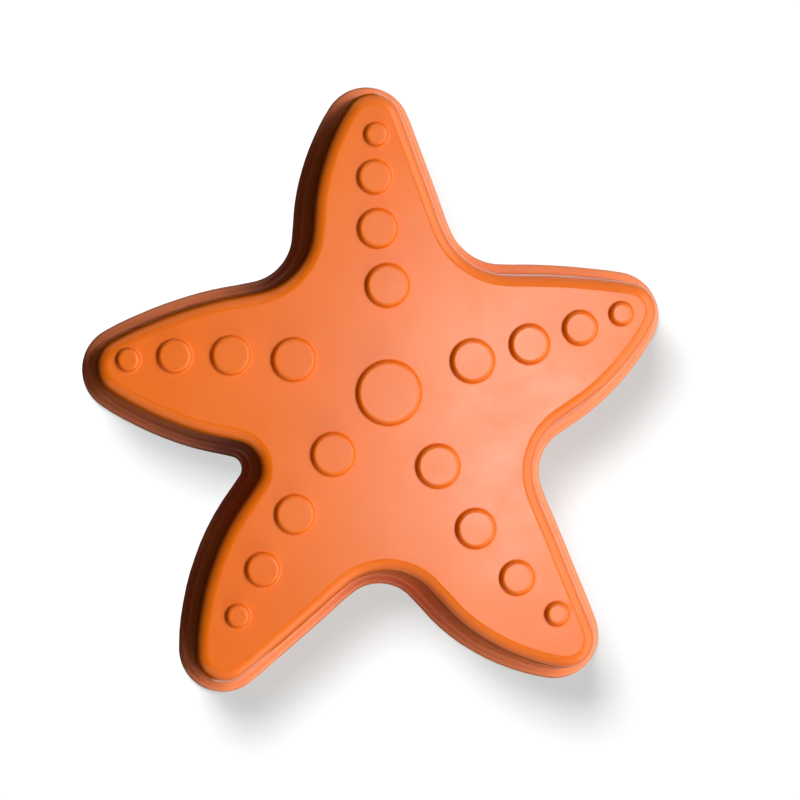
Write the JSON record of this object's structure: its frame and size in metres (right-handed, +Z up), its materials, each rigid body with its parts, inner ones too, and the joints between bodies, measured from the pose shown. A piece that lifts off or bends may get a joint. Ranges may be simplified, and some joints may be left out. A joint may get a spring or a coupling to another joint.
{
  "type": "starfish sand mould",
  "caption": "Soft one-piece starfish sand mould with raised studs along its arms, drafted walls, an open underside and a rim flange.",
  "frame": {"origin": "on the surface that the rim rests on, under the middle of the rim's bounding box", "axes": "+Z up out of the studded face, the open mouth facing -Z; +X along the arm that lies nearest to it, +Y close to the next arm counter-clockwise"},
  "size_m": [0.093, 0.0916, 0.0232],
  "materials": {
    "silicone": "soft satin moulded silicone"
  },
  "bodies": {
    "root": {"mould_shell": "silicone"}
  },
  "joints": []
}
